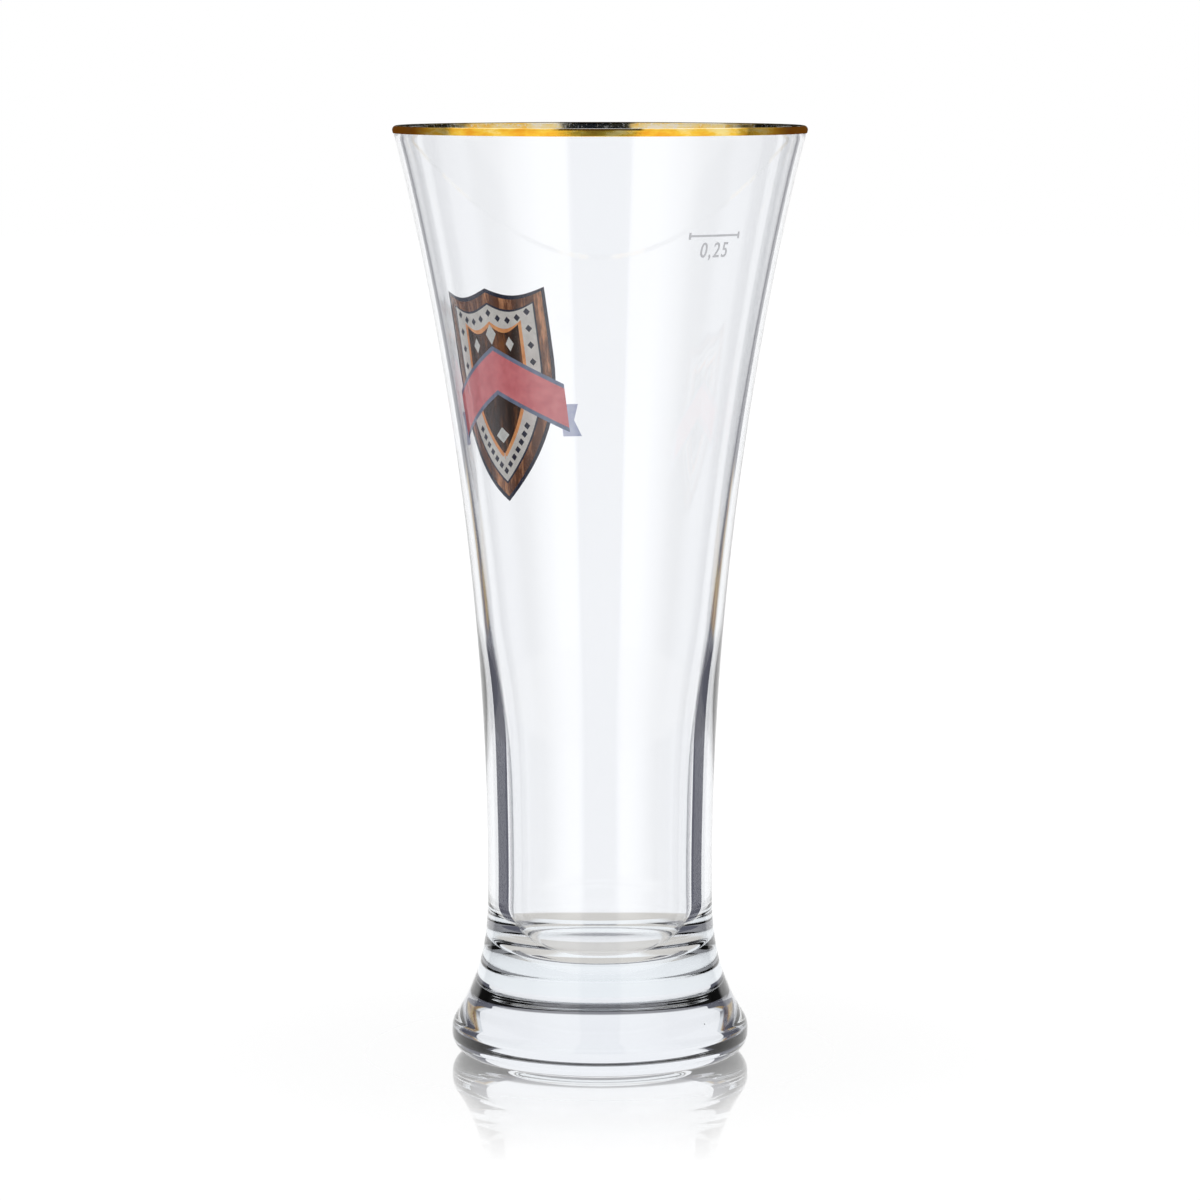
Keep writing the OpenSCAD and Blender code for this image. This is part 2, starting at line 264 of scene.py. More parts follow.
def glassOutline():
    cornerTop = g["floorHeight"] + g["cornerHeight"]
    cornerR = innerR(cornerTop) - g["cornerWidth"]
    contactR = g["footRadius"] - g["footUnder"]
    points = [(r, g["floorHeight"] - g["floorDish"] * (1 - (r / cornerR) ** 2))
              for r in evenSteps(0, cornerR, g["floorSteps"])]
    points += [(cornerR + g["cornerWidth"] * math.cos(math.radians(a)),
                cornerTop + g["cornerHeight"] * math.sin(math.radians(a)))
               for a in evenSteps(-90, 0, g["cornerSteps"])][1:]
    points += [(innerR(z), z) for z in evenSteps(cornerTop, rimEndIn, g["innerSteps"])][1:]
    points += arcPoints(rimMidR, rimMidZ, rimRound, 180 - rimTilt, -rimTilt, g["rimSteps"])[1:]
    points += [(outerR(z), z) for z in evenSteps(rimEndOut, lipZ, g["outerSteps"])][1:]
    points += arcPoints(g["footRadius"] - g["footEdge"], g["footWidest"], g["footEdge"],
                        g["footLipAngle"], 0, g["edgeSteps"])[1:]
    points += arcPoints(contactR, g["footUnder"], g["footUnder"], 0, -90, g["underSteps"])
    points += [(r, g["hollowHeight"] * (1 - (r / g["hollowRadius"]) ** 2))
               for r in evenSteps(g["hollowRadius"], 0, g["hollowSteps"])]
    return points


def spinOutline(name, points, closed=False):
    pickNothing()
    bpy.ops.mesh.primitive_plane_add(size=mm, location=(0, 0, 0))
    piece = bpy.context.object
    piece.name = name
    bpy.ops.object.mode_set(mode="EDIT")
    bpy.ops.mesh.select_all(action="SELECT")
    bpy.ops.mesh.merge(type="CENTER")
    bpy.ops.transform.translate(value=(points[0][0], 0, points[0][1]))
    for here, there in zip(points, points[1:]):
        bpy.ops.mesh.extrude_region_move(
            TRANSFORM_OT_translate={"value": (there[0] - here[0], 0, there[1] - here[1])})
    bpy.ops.mesh.select_all(action="SELECT")
    if closed:
        bpy.ops.mesh.remove_doubles(threshold=g["closeWithin"])
    bpy.ops.mesh.spin(steps=g["turns"], angle=math.tau, center=(0, 0, 0), axis=(0, 0, 1))
    bpy.ops.mesh.select_all(action="SELECT")
    bpy.ops.mesh.remove_doubles(threshold=g["weldWithin"])
    bpy.ops.mesh.normals_make_consistent(inside=False)
    bpy.ops.object.mode_set(mode="OBJECT")
    bpy.ops.object.shade_smooth()
    return piece


glassLook = {
    "tint": (0.99, 0.993, 0.997), "ior": 1.52,
    "body": (0.68, 0.72, 0.77), "density": 8,
    "specksPerMetre": 95, "speckSize": 0.022, "speckChosenFrom": 0.9,
    "speckColour": (0.3, 0.3, 0.3), "speckRoughness": 0.6,
    "ripplesPerMetre": (18, 18, 150), "rippleStrength": 0.25, "rippleDepth": 0.012 * mm,
    "rippleFadeFrom": 0.035, "rippleFadeTo": 0.07,
}


# Clear glass that takes a little light in its body, with sparse specks and, low down, shallow ripples.
def makeGlassMaterial():
    look = glassLook
    material, tree, shader = newMaterial("clearGlass")
    specks = tree.nodes.new("ShaderNodeTexVoronoi")
    coords = tree.nodes.new("ShaderNodeTexCoord")
    tree.links.new(coords.outputs["Object"], specks.inputs["Vector"])
    specks.inputs["Scale"].default_value = look["specksPerMetre"]
    speck = calc(tree, "LESS_THAN", specks.outputs["Distance"], look["speckSize"])
    chosen = tree.nodes.new("ShaderNodeSeparateColor")
    tree.links.new(specks.outputs["Color"], chosen.inputs[0])
    isChosen = calc(tree, "GREATER_THAN", chosen.outputs[0], look["speckChosenFrom"])
    speck = calc(tree, "MULTIPLY", speck, isChosen)
    tree.links.new(blendColour(tree, speck, look["tint"], look["speckColour"]), shader.inputs["Base Color"])
    tree.links.new(calc(tree, "MULTIPLY", speck, look["speckRoughness"]), shader.inputs["Roughness"])
    shader.inputs["IOR"].default_value = look["ior"]
    shader.inputs["Transmission Weight"].default_value = 1
    body = tree.nodes.new("ShaderNodeVolumeAbsorption")
    body.inputs["Color"].default_value = (*look["body"], 1)
    body.inputs["Density"].default_value = look["density"]
    tree.links.new(body.outputs[0], tree.nodes["Material Output"].inputs["Volume"])
    split = tree.nodes.new("ShaderNodeSeparateXYZ")
    tree.links.new(coords.outputs["Object"], split.inputs[0])
    lowShare = fall(tree, split.outputs["Z"], look["rippleFadeFrom"], look["rippleFadeTo"])
    ripple = calc(tree, "MULTIPLY", noiseOf(tree, look["ripplesPerMetre"], detail=2), lowShare)
    roughen(tree, shader, ripple, look["rippleStrength"], look["rippleDepth"])
    return material


glass = spinOutline("blownGlass", glassOutline())
dress(glass, makeGlassMaterial())
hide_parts("bowl", "foot")
print("glass made:", len(glass.data.polygons), "faces")


# gold on the rim

gilding = {
    "thickness": 0.1 * mm, "sunk": 0.02 * mm, "drop": 1.35 * mm, "endInside": 138,
    "sideSteps": 3, "arcSteps": 24,
}


def goldOutline(offset):
    side = [(outerR(z) + offset / math.cos(math.radians(rimTilt)), z)
            for z in evenSteps(g["height"] - gilding["drop"], rimEndOut, gilding["sideSteps"])][:-1]
    return side + arcPoints(rimMidR, rimMidZ, rimRound + offset, -rimTilt, gilding["endInside"],
                            gilding["arcSteps"])


# The stops of each colour run follow a noise from 0 to 1. Places across the rim are distances from its
# middle, in metres.
goldLook = {
    "cloudsPerMetre": (170, 170, 500), "patchesPerMetre": (90, 90, 90),
    "glintsPerMetre": (1700, 1700, 1700),
    "amber": [(0.35, (0.9, 0.4, 0.03)), (0.5, (0.98, 0.6, 0.06)), (0.66, (1.0, 0.8, 0.3))],
    "dark": [(0.38, (0.02, 0.02, 0.016)), (0.5, (0.1, 0.085, 0.03)), (0.62, (0.4, 0.3, 0.08))],
    "pale": [(0.38, (1.0, 0.62, 0.12)), (0.5, (1.0, 0.8, 0.36)), (0.62, (1.0, 0.92, 0.72))],
    "brownEndReflection": (0.085, 0.022, 0.002), "brownShare": 0.97, "blackEndReflection": (0.012, 0.011, 0.008),
    "blackShare": 0.9, "ends": (0.025, 0.036), "outsideFrom": (0.2, 0.6),
    "paleFrom": (0.0055, 0.0085), "paleTo": (0.025, 0.031), "uneven": 0.018,
    "glint": (0.9, 0.92, 0.9), "glintFrom": (0.56, 0.62), "glintShare": 0.5,
    "edge": (0.02, 0.018, 0.012), "edgeFrom": (-0.75, -0.6), "edgeBehind": (0.0, 0.006), "edgeShare": 0.85,
    "grazing": (1.0, 0.62, 0.25),
    "paleGlow": 0.45, "brownDull": 0.98, "paleDull": 0.86,
    "roughness": 0.16, "cloudRoughness": 0.2, "cloudFrom": (0.35, 0.7), "lipRoughness": 0.26,
    "bumpStrength": 0.3, "bumpDepth": 0.02 * mm,
}


# Outside the gold is amber and turns to a painted brown reflection at the sides. The lip carries painted
# reflections in long patches, nearly black, olive and pale, with fine painted glints, and turns to a
# painted black one at its ends.
def makeGoldMaterial():
    look = goldLook
    material, tree, shader = newMaterial("firedGold")
    coords = tree.nodes.new("ShaderNodeTexCoord")
    split = tree.nodes.new("ShaderNodeSeparateXYZ")
    tree.links.new(coords.outputs["Object"], split.inputs[0])
    outward = outwardness(tree, coords, split)
    outside = rise(tree, outward, *look["outsideFrom"])
    inside = calc(tree, "SUBTRACT", 1, outside)
    cloud = noiseOf(tree, look["cloudsPerMetre"], detail=4, roughness=0.6)
    patches = noiseOf(tree, look["patchesPerMetre"], detail=3, roughness=0.6)
    fine = noiseOf(tree, look["glintsPerMetre"], detail=3)
    across = calc(tree, "ABSOLUTE", split.outputs["X"])
    # The pale bands across the lip are painted reflections of the bright backdrop.
    shift = calc(tree, "MULTIPLY", calc(tree, "SUBTRACT", patches, 0.5), look["uneven"])
    uneven = calc(tree, "ADD", across, shift)
    side = rise(tree, across, *look["ends"])
    pale = calc(tree, "MULTIPLY", rise(tree, uneven, *look["paleFrom"]),
                fall(tree, uneven, *look["paleTo"]))
    amber = curveOf(tree, cloud, look["amber"])
    # Towards the ends the gold gets painted dark reflections: brown outside, black on the lip.
    amber = blendColour(tree, calc(tree, "MULTIPLY", side, look["brownShare"]), amber, look["brownEndReflection"])
    # The lip's nearly black and olive patches are painted dark reflections.
    lip = curveOf(tree, patches, look["dark"])
    lip = blendColour(tree, calc(tree, "MULTIPLY", side, look["blackShare"]), lip, look["blackEndReflection"])
    lip = blendColour(tree, pale, lip, curveOf(tree, cloud, look["pale"]))
    # Fine painted glints, near white, on the lip.
    glint = calc(tree, "MULTIPLY", rise(tree, fine, *look["glintFrom"]), look["glintShare"])
    lip = blendColour(tree, glint, lip, look["glint"])
    # The inner face at the back of the rim gets a painted dark reflection.
    atBack = rise(tree, split.outputs["Y"], *look["edgeBehind"])
    edge = calc(tree, "MULTIPLY", rise(tree, outward, *look["edgeFrom"]), atBack)
    lip = blendColour(tree, calc(tree, "MULTIPLY", edge, look["edgeShare"]), lip, look["edge"])
    colours = blendColour(tree, outside, lip, amber)
    tree.links.new(colours, shader.inputs["Base Color"])
    # The pale patches inside glow with painted light, as if lit through from the bright backdrop.
    tree.links.new(colours, shader.inputs["Emission Color"])
    glow = calc(tree, "MULTIPLY", calc(tree, "MULTIPLY", pale, inside), look["paleGlow"])
    tree.links.new(glow, shader.inputs["Emission Strength"])
    shader.inputs["Specular Tint"].default_value = (*look["grazing"], 1)
    shader.inputs["Specular IOR Level"].default_value = 0
    # Where the painted brown reflection or the painted pale patches lie, it shines less like metal.
    dull = calc(tree, "MAXIMUM", calc(tree, "MULTIPLY", side, look["brownDull"]),
                calc(tree, "MULTIPLY", pale, look["paleDull"]))
    tree.links.new(calc(tree, "SUBTRACT", 1, dull), shader.inputs["Metallic"])
    worn = calc(tree, "MULTIPLY", rise(tree, cloud, *look["cloudFrom"]), look["cloudRoughness"])
    worn = calc(tree, "ADD", worn, look["roughness"])
    worn = calc(tree, "ADD", worn, calc(tree, "MULTIPLY", inside, look["lipRoughness"]))
    tree.links.new(worn, shader.inputs["Roughness"])
    roughen(tree, shader, fine, look["bumpStrength"], look["bumpDepth"])
    return material


goldInner = goldOutline(-gilding["sunk"])
goldOuter = goldOutline(gilding["thickness"])
goldRim = spinOutline("goldRim", goldInner + goldOuter[::-1] + goldInner[:1], closed=True)
dress(goldRim, makeGoldMaterial())
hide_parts("rim_gilding")
print("gold rim made")


# enamel prints

enamel = {
    "sunkShare": 0.001, "glow": 0.5, "shine": 0.12, "roughness": 0.32,
    "cloudsPerMetre": (500, 500, 500), "cloudStops": (0.3, 0.7),
    "streaksPerMetre": (420, 420, 60), "streakStops": (0.34, 0.5, 0.66), "darkShare": 0.5,
    "bumpStrength": 0.2, "bumpDepth": 0.02 * mm, "smoothTo": 30,
}


def copyPrint(nodeName, pieceName):
    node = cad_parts[nodeName]
    pick(node)
    bpy.ops.object.duplicate()
    piece = bpy.context.object
    piece.name = pieceName
    bpy.ops.object.mode_set(mode="EDIT")
    bpy.ops.mesh.select_all(action="SELECT")
    bpy.ops.mesh.remove_doubles(threshold=g["closeWithin"])
    shrink = 1 - enamel["sunkShare"]
    bpy.ops.transform.resize(value=(shrink, shrink, 1), center_override=(0, 0, 0))
    bpy.ops.object.mode_set(mode="OBJECT")
    bpy.ops.object.shade_smooth_by_angle(angle=math.radians(enamel["smoothTo"]))
    return piece


# Fired enamel: a little cloudy, or streaked where the colour imitates wood. The backdrop's light through it
# is painted as a glow on the side that looks into the glass. The white one, the fill line, has this painted
# glow on both sides.
def makeEnamelMaterial(name, colour, light, streaks, glowsOutside):
    material, tree, shader = newMaterial(name)
    if streaks:
        dark = tuple(part * enamel["darkShare"] for part in colour)
        cloud = noiseOf(tree, enamel["streaksPerMetre"], detail=6, roughness=0.7)
        stops = zip(enamel["streakStops"], (dark, colour, light))
    else:
        cloud = noiseOf(tree, enamel["cloudsPerMetre"], detail=5, roughness=0.6)
        stops = zip(enamel["cloudStops"], (colour, light))
    colours = curveOf(tree, cloud, list(stops))
    tree.links.new(colours, shader.inputs["Base Color"])
    tree.links.new(colours, shader.inputs["Emission Color"])
    # Painted glow, on both sides or only on the side that looks into the glass.
    if glowsOutside:
        shader.inputs["Emission Strength"].default_value = enamel["glow"]
    else:
        coords = tree.nodes.new("ShaderNodeTexCoord")
        split = tree.nodes.new("ShaderNodeSeparateXYZ")
        tree.links.new(coords.outputs["Object"], split.inputs[0])
        inward = calc(tree, "LESS_THAN", outwardness(tree, coords, split), 0)
        tree.links.new(calc(tree, "MULTIPLY", inward, enamel["glow"]), shader.inputs["Emission Strength"])
    shader.inputs["Roughness"].default_value = enamel["roughness"]
    shader.inputs["Specular IOR Level"].default_value = enamel["shine"]
    roughen(tree, shader, cloud, enamel["bumpStrength"], enamel["bumpDepth"])
    return material


# Each print has its piece, its slot, its colour, the light one, and whether it is streaked.
prints = {
    # The fill line is white enamel; its grey colour is painted shade.
    "fill_line": ("fillLine", "white_enamel", (0.3, 0.305, 0.32), (0.36, 0.365, 0.38), False),
    "emblem_navy": ("navyPrint", "navy_enamel", (0.012, 0.013, 0.03), (0.02, 0.024, 0.05), False),
    "emblem_copper": ("copperPrint", "copper_enamel", (0.14, 0.05, 0.022), (0.62, 0.29, 0.14), True),
    "emblem_cream": ("creamPrint", "cream_enamel", (0.56, 0.55, 0.52), (0.7, 0.69, 0.66), False),
    "emblem_orange": ("orangePrint", "orange_enamel", (0.62, 0.22, 0.06), (0.85, 0.42, 0.18), False),
    "emblem_brown": ("brownPrint", "brown_enamel", (0.035, 0.012, 0.005), (0.22, 0.08, 0.022), True),
    "emblem_lozenges": ("lozengePrint", "cream_enamel", (0.5, 0.52, 0.5), (0.7, 0.72, 0.7), False),
    "emblem_pink": ("pinkPrint", "pink_enamel", (0.6, 0.16, 0.18), (0.72, 0.24, 0.26), False),
    "emblem_slate": ("slatePrint", "slate_enamel", (0.12, 0.16, 0.26), (0.2, 0.25, 0.36), False),
    "emblem_lilac": ("lilacPrint", "lilac_enamel", (0.48, 0.53, 0.7), (0.6, 0.65, 0.82), False),
}
for nodeName, (pieceName, slotName, colour, light, streaks) in prints.items():
    piece = copyPrint(nodeName, pieceName)
    glowsOutside = nodeName == "fill_line"
    enamelMaterial = makeEnamelMaterial(pieceName + "Enamel", colour, light, streaks, glowsOutside)
    dress(piece, enamelMaterial)
    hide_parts(nodeName)
print("prints made:", len(prints))


# figures under the fill line

figures = {
    "text": "0,25", "size": 4.15 * mm, "slant": 0.1, "spacing": 1.2, "narrow": 0.8, "bold": 0.035 * mm,
    "below": 2.9 * mm, "stand": 0.2 * mm, "lift": 0.02 * mm, "thickness": 0.06 * mm, "curveSteps": 6,
}


def makeFigures():
    low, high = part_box("fill_line")
    middle = (low + high) / 2
    facing = math.atan2(middle.y, middle.x)
    height = middle.z - figures["below"]
    pickNothing()
    bpy.ops.object.text_add(location=(0, 0, 0))
    writing = bpy.context.object
    writing.name = "fillFigures"
    writing.data.body = figures["text"]
    writing.data.size = figures["size"]
    writing.data.shear = figures["slant"]
    writing.data.space_character = figures["spacing"]
    writing.data.offset = figures["bold"]
    writing.data.align_x = "CENTER"
    writing.data.align_y = "CENTER"
    writing.data.resolution_u = figures["curveSteps"]
    bpy.ops.object.convert(target="MESH")
    bpy.ops.object.mode_set(mode="EDIT")
    bpy.ops.mesh.select_all(action="SELECT")
    bpy.ops.mesh.remove_doubles(threshold=g["weldWithin"])
    bpy.ops.mesh.quads_convert_to_tris()
    bpy.ops.mesh.subdivide(number_cuts=1)
    bpy.ops.transform.resize(value=(figures["narrow"], 1, 1), center_override=(0, 0, 0))
    bpy.ops.transform.rotate(value=-math.pi / 2, orient_axis="X", center_override=(0, 0, 0))
    bpy.ops.transform.translate(value=(0, -outerR(height) - figures["stand"], height))
    bpy.ops.transform.rotate(value=-math.pi / 2 - facing, orient_axis="Z", center_override=(0, 0, 0))
    bpy.ops.object.mode_set(mode="OBJECT")
    pick(writing)
    laid = writing.modifiers.new("laid", "SHRINKWRAP")
    laid.target = glass
    laid.wrap_method = "NEAREST_SURFACEPOINT"
    laid.wrap_mode = "ABOVE_SURFACE"
    laid.offset = figures["lift"]
    bpy.ops.object.modifier_apply(modifier="laid")
    thick = writing.modifiers.new("thick", "SOLIDIFY")
    thick.thickness = figures["thickness"]
    thick.offset = 1
    bpy.ops.object.modifier_apply(modifier="thick")
    return writing


writing = makeFigures()
dress(writing, bpy.data.materials["fillLineEnamel"])
print("figures made:", len(writing.data.polygons), "faces")


# floor, boards, light and camera

# The fade of the mirror is a list of places, in metres from the axis, each with its share. A colour ramp
# runs from 0 to 1, so the places are set on it by rampScale.
floorLook = {
    "size": 8, "drop": 0.05 * mm, "glow": 1.07,
    "matt": 0.3, "mattFrom": 0.05, "mattTo": 0.16, "mattColour": (0.9, 0.9, 0.9),
    "mirrorFade": [(0.026, 0.8), (0.033, 0.66), (0.045, 0.46), (0.06, 0.3), (0.075, 0.17), (0.09, 0.08),
                   (0.1, 0.0)],
    "rampScale": 10,
    "ringFrom": 0.0195, "ringTo": 0.05, "ring": (1.0, 1.03, 1.05),
    "ringSidesShade": (0.72, 0.7, 0.665), "sidesFrom": 0.015, "sidesTo": 0.022,
    "clearFrom": 0.13, "clearTo": 0.2,
}


# A bright, even floor, matt near the glass, with a mirror that fades outward. Rays that come through the
# glass pass it, except for a pale ring round the foot, which turns beige at its sides as painted shade.
def makeFloor():
    pickNothing()
    bpy.ops.mesh.primitive_plane_add(size=floorLook["size"], location=(0, 0, -floorLook["drop"]))
    floor = bpy.context.object
    floor.name = "studioFloor"
    material, tree, shader = newMaterial("paleFloor")
    tree.nodes.remove(shader)
    out = tree.nodes["Material Output"]
    path = tree.nodes.new("ShaderNodeLightPath")
    glow = tree.nodes.new("ShaderNodeEmission")
    glow.inputs["Color"].default_value = (1, 1, 1, 1)
    glow.inputs["Strength"].default_value = floorLook["glow"]
    matt = tree.nodes.new("ShaderNodeBsdfDiffuse")
    matt.inputs["Color"].default_value = (*floorLook["mattColour"], 1)
    coords = tree.nodes.new("ShaderNodeTexCoord")
    length = tree.nodes.new("ShaderNodeVectorMath")
    length.operation = "LENGTH"
    tree.links.new(coords.outputs["Object"], length.inputs[0])
    far = length.outputs["Value"]
    mattShare = fall(tree, far, floorLook["mattFrom"], floorLook["mattTo"])
    mattShare = calc(tree, "MULTIPLY", mattShare, floorLook["matt"])
    pale = blendShader(tree, mattShare, glow.outputs[0], matt.outputs[0])
    shine = tree.nodes.new("ShaderNodeBsdfGlossy")
    shine.inputs["Color"].default_value = (1, 1, 1, 1)
    shine.inputs["Roughness"].default_value = 0
    scale = floorLook["rampScale"]
    mirror = curveOf(tree, calc(tree, "MULTIPLY", far, scale),
                     [(scale * place, grey(share)) for place, share in floorLook["mirrorFade"]])
    mirror = calc(tree, "MULTIPLY", mirror, path.outputs["Is Camera Ray"])
    seen = blendShader(tree, mirror, pale, shine.outputs[0])
    clear = tree.nodes.new("ShaderNodeBsdfTransparent")
    inRing = calc(tree, "MULTIPLY", calc(tree, "GREATER_THAN", far, floorLook["ringFrom"]),
                  calc(tree, "LESS_THAN", far, floorLook["ringTo"]))
    ring = tree.nodes.new("ShaderNodeEmission")
    # Beige at the ring's left and right sides is painted shade of the floor under the foot.
    across = tree.nodes.new("ShaderNodeSeparateXYZ")
    tree.links.new(coords.outputs["Object"], across.inputs[0])
    aside = rise(tree, calc(tree, "ABSOLUTE", across.outputs["X"]),
                 floorLook["sidesFrom"], floorLook["sidesTo"])
    ringColour = blendColour(tree, aside, floorLook["ring"], floorLook["ringSidesShade"])
    tree.links.new(ringColour, ring.inputs["Color"])
    passing = blendShader(tree, inRing, clear.outputs[0], ring.outputs[0])
    # Far from the glass it is clear to mirrored rays, so the glass mirrors the studio there.
    away = rise(tree, far, floorLook["clearFrom"], floorLook["clearTo"])
    away = calc(tree, "MULTIPLY", away, path.outputs["Is Glossy Ray"])
    seen = blendShader(tree, away, seen, clear.outputs[0])
    allRays = blendShader(tree, path.outputs["Is Transmission Ray"], seen, passing)
    tree.links.new(allRays, out.inputs["Surface"])
    floor.data.materials.append(material)


veilLook = {"size": 0.24, "dropShare": 0.6}


# A clear veil just over the floor. The world counts it, and so knows what the floor alone mirrors.
def makeVeil():
    pickNothing()
    height = -veilLook["dropShare"] * floorLook["drop"]
    bpy.ops.mesh.primitive_plane_add(size=veilLook["size"], location=(0, 0, height))
    veil = bpy.context.object
    veil.name = "floorVeil"
    material, tree, shader = newMaterial("clearVeil")
    tree.nodes.remove(shader)
    clear = tree.nodes.new("ShaderNodeBsdfTransparent")
    tree.links.new(clear.outputs[0], tree.nodes["Material Output"].inputs["Surface"])
    veil.data.materials.append(material)
    veil.visible_transmission = False
    veil.visible_diffuse = False
    veil.visible_shadow = False


# Patches are warm from warmFrom to the top, which is lower beyond topStep. They are pale out to paleEnd.
boards = {
    "inner": 100 * mm, "outer": 217 * mm, "behind": 141 * mm, "low": -200 * mm, "high": 400 * mm,
    "colour": (0.125, 0.128, 0.16), "brown": (0.27, 0.14, 0.08), "warm": (0.42, 0.31, 0.15),
    "pale": (0.8, 0.82, 0.85), "paleEnd": (0.108, 0.118),
    "warmFrom": (0.03, 0.042), "top": 0.078, "topFade": 0.008, "topDrop": 0.03, "topStep": (0.124, 0.134),
    "patchesPerMetre": (45, 45, 45), "patchStops": (0.36, 0.43, 0.5),
}


# Two dark upright boards behind the glass, out of the picture, give it its dark edges. What the foot
# mirrors inside itself catches their upper parts, which are warm and pale. Depths of rays are whole
# numbers, so each limit lies between two of them.
def makeBoards():
    material, tree, shader = newMaterial("darkBoard")
    tree.nodes.remove(shader)
    path = tree.nodes.new("ShaderNodeLightPath")
    coords = tree.nodes.new("ShaderNodeTexCoord")
    split = tree.nodes.new("ShaderNodeSeparateXYZ")
    tree.links.new(coords.outputs["Object"], split.inputs[0])
    mirrored = calc(tree, "MULTIPLY", calc(tree, "GREATER_THAN", path.outputs["Glossy Depth"], 0.5),
                    calc(tree, "LESS_THAN", path.outputs["Transmission Depth"], 2.5))
    across = calc(tree, "ABSOLUTE", split.outputs["X"])
    upper = calc(tree, "MULTIPLY", rise(tree, split.outputs["Z"], *boards["warmFrom"]), mirrored)
    drop = calc(tree, "MULTIPLY", rise(tree, across, *boards["topStep"]), boards["topDrop"])
    room = calc(tree, "SUBTRACT", calc(tree, "SUBTRACT", boards["top"], drop), split.outputs["Z"])
    upper = calc(tree, "MULTIPLY", upper, rise(tree, room, -boards["topFade"], 0))
    near = fall(tree, across, *boards["paleEnd"])
    patches = noiseOf(tree, boards["patchesPerMetre"], detail=4)
    warm = curveOf(tree, patches, list(zip(boards["patchStops"],
                                           (boards["colour"], boards["brown"], boards["warm"]))))
    warm = blendColour(tree, near, warm, boards["pale"])
    glow = tree.nodes.new("ShaderNodeEmission")
    tree.links.new(blendColour(tree, upper, boards["colour"], warm), glow.inputs["Color"])
    tree.links.new(glow.outputs[0], tree.nodes["Material Output"].inputs["Surface"])
    middle = (boards["inner"] + boards["outer"]) / 2
    size = (boards["outer"] - boards["inner"], boards["high"] - boards["low"], 1)
    centreZ = (boards["high"] + boards["low"]) / 2
    for side, name in ((-1, "boardLeft"), (1, "boardRight")):
        pickNothing()
        bpy.ops.mesh.primitive_plane_add(size=1, location=(0, 0, 0))
        board = bpy.context.object
        board.name = name
        bpy.ops.object.mode_set(mode="EDIT")
        bpy.ops.mesh.select_all(action="SELECT")
        bpy.ops.transform.resize(value=size, center_override=(0, 0, 0))
        bpy.ops.transform.rotate(value=math.pi / 2, orient_axis="X", center_override=(0, 0, 0))
        bpy.ops.transform.translate(value=(side * middle, boards["behind"], centreZ))
        bpy.ops.object.mode_set(mode="OBJECT")
        board.data.materials.append(material)
        board.visible_camera = False
        board.visible_glossy = False
        board.visible_diffuse = False
        board.visible_shadow = False


# Angles are in degrees: those around the glass from straight behind it, 0, to the camera's side, 180.
worldLook = {
    "backdrop": (1.03, 1.04, 1.06), "beyond": (0.58, 0.59, 0.62), "beyondFrom": (57, 66),
    "below": (0.72, 0.70, 0.665), "belowFrom": (23, 25), "above": (0.3, 0.3, 0.32), "aboveFrom": (26, 32),
    "gap": (0.33, 0.33, 0.34), "gapFrom": (159, 161), "gapLow": -45, "gapHigh": 60,
    "nearSideFrom": (88, 96), "straightFrom": (70, 86),
    "around": [(0, grey(1.0)), (40, grey(1.0)), (46, grey(0.05)), (60, grey(0.05)), (66, grey(0.15)),
               (80, grey(0.1)), (112, grey(0.09)), (120, grey(0.45)), (140, grey(0.96)), (158, grey(1.0)),
               (162, (0.2, 0.25, 0.33)), (180, (0.15, 0.2, 0.3))],
    "ceiling": (0.08, 0.08, 0.085), "ceilingLow": 34, "ceilingHigh": 66, "ceilingRise": (70, 120),
    "ceilingFade": 4,
}


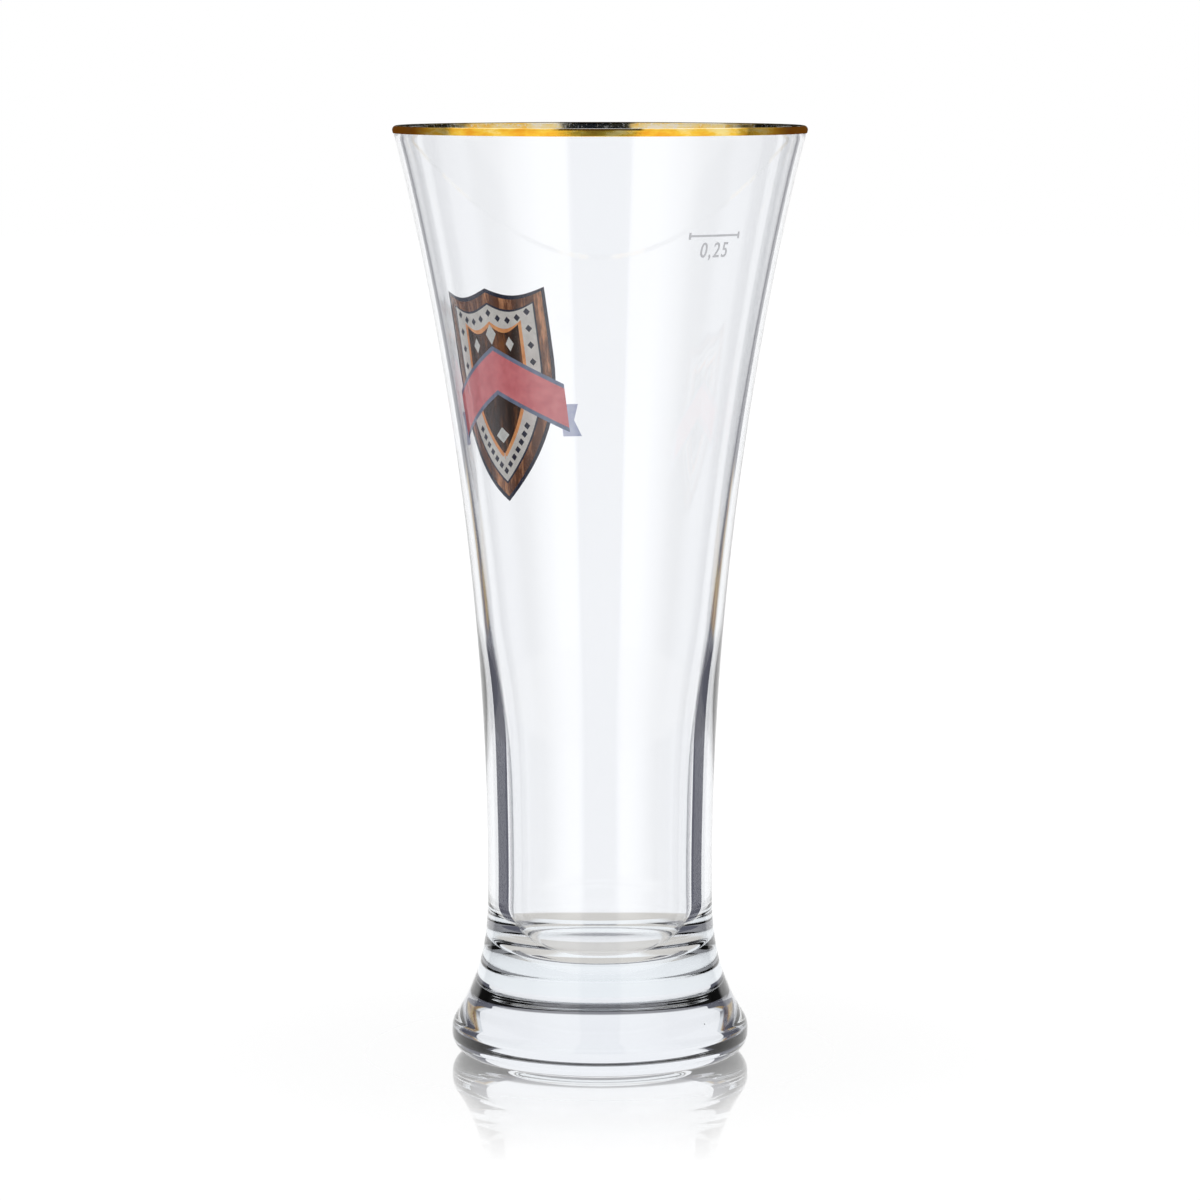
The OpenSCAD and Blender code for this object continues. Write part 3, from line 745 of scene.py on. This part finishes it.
# The camera sees white. What the glass mirrors is a studio of pale and dark walls all round. What is seen
# through the glass is the backdrop, and the studio's darker parts where the light is turned aside.
def makeWorld():
    world = bpy.data.worlds.new("studio")
    bpy.context.scene.world = world
    world.use_nodes = True
    tree = world.node_tree
    back = tree.nodes["Background"]
    coords = tree.nodes.new("ShaderNodeTexCoord")
    split = tree.nodes.new("ShaderNodeSeparateXYZ")
    tree.links.new(coords.outputs["Generated"], split.inputs[0])
    turn = calc(tree, "ABSOLUTE", calc(tree, "ARCTAN2", split.outputs["X"], split.outputs["Y"]))
    turn = calc(tree, "MULTIPLY", turn, 180 / math.pi)
    height = calc(tree, "MULTIPLY", calc(tree, "ARCSINE", split.outputs["Z"]), 180 / math.pi)
    w = worldLook
    below = rise(tree, calc(tree, "MULTIPLY", height, -1), *w["belowFrom"])
    above = rise(tree, height, *w["aboveFrom"])
    inGap = calc(tree, "MULTIPLY", calc(tree, "LESS_THAN", height, w["gapHigh"]),
                 calc(tree, "GREATER_THAN", height, w["gapLow"]))
    gap = calc(tree, "MULTIPLY", rise(tree, turn, *w["gapFrom"]), inGap)
    around = curveOf(tree, calc(tree, "DIVIDE", turn, 180),
                     [(angle / 180, colour) for angle, colour in w["around"]])
    through = blendColour(tree, rise(tree, turn, *w["beyondFrom"]), w["backdrop"], w["beyond"])
    through = blendColour(tree, rise(tree, turn, *w["nearSideFrom"]), through, around)
    through = blendColour(tree, below, through, w["below"])
    through = blendColour(tree, above, through, w["above"])
    through = blendColour(tree, gap, through, w["gap"])
    # Rays that pass straight through see the backdrop from every side.
    path = tree.nodes.new("ShaderNodeLightPath")
    bounces = calc(tree, "ADD", path.outputs["Glossy Depth"], path.outputs["Diffuse Depth"])
    straight = calc(tree, "MULTIPLY", rise(tree, turn, *w["straightFrom"]),
                    calc(tree, "LESS_THAN", bounces, 0.5))
    through = blendColour(tree, straight, through, blendColour(tree, below, w["backdrop"], w["below"]))
    wallRise = calc(tree, "MULTIPLY", rise(tree, turn, *w["ceilingRise"]),
                    w["ceilingHigh"] - w["ceilingLow"])
    overWall = calc(tree, "SUBTRACT", height, calc(tree, "ADD", w["ceilingLow"], wallRise))
    ceiling = rise(tree, overWall, -w["ceilingFade"], w["ceilingFade"])
    around = blendColour(tree, ceiling, around, w["ceiling"])
    # Rays that the floor alone mirrors have passed the veil twice, and they see white.
    mirrored = calc(tree, "MULTIPLY", calc(tree, "GREATER_THAN", path.outputs["Transparent Depth"], 1.5),
                    calc(tree, "LESS_THAN", path.outputs["Glossy Depth"], 1.5))
    around = blendColour(tree, mirrored, around, (1, 1, 1))
    colours = blendColour(tree, path.outputs["Is Diffuse Ray"], around, (1, 1, 1))
    colours = blendColour(tree, path.outputs["Is Transmission Ray"], colours, through)
    colours = blendColour(tree, path.outputs["Is Camera Ray"], colours, (1, 1, 1))
    tree.links.new(colours, back.inputs["Color"])
    back.inputs["Strength"].default_value = 1


cameraPlace = {
    "distance": 0.928, "height": 0.1964, "pitch": 6.6, "lens": 144, "sensor": 36,
    "nearest": 0.01, "farthest": 50,
}


def makeCamera():
    data = bpy.data.cameras.new("photoCamera")
    data.lens = cameraPlace["lens"]
    data.sensor_width = cameraPlace["sensor"]
    camera = bpy.data.objects.new("photoCamera", data)
    bpy.context.scene.collection.objects.link(camera)
    camera.location = (0, -cameraPlace["distance"], cameraPlace["height"])
    camera.rotation_euler = (math.radians(90 - cameraPlace["pitch"]), 0, 0)
    data.clip_start = cameraPlace["nearest"]
    data.clip_end = cameraPlace["farthest"]
    bpy.context.scene.camera = camera


makeFloor()
makeVeil()
makeBoards()
makeWorld()
makeCamera()
bpy.context.scene.view_settings.view_transform = "Standard"
print("stage made")
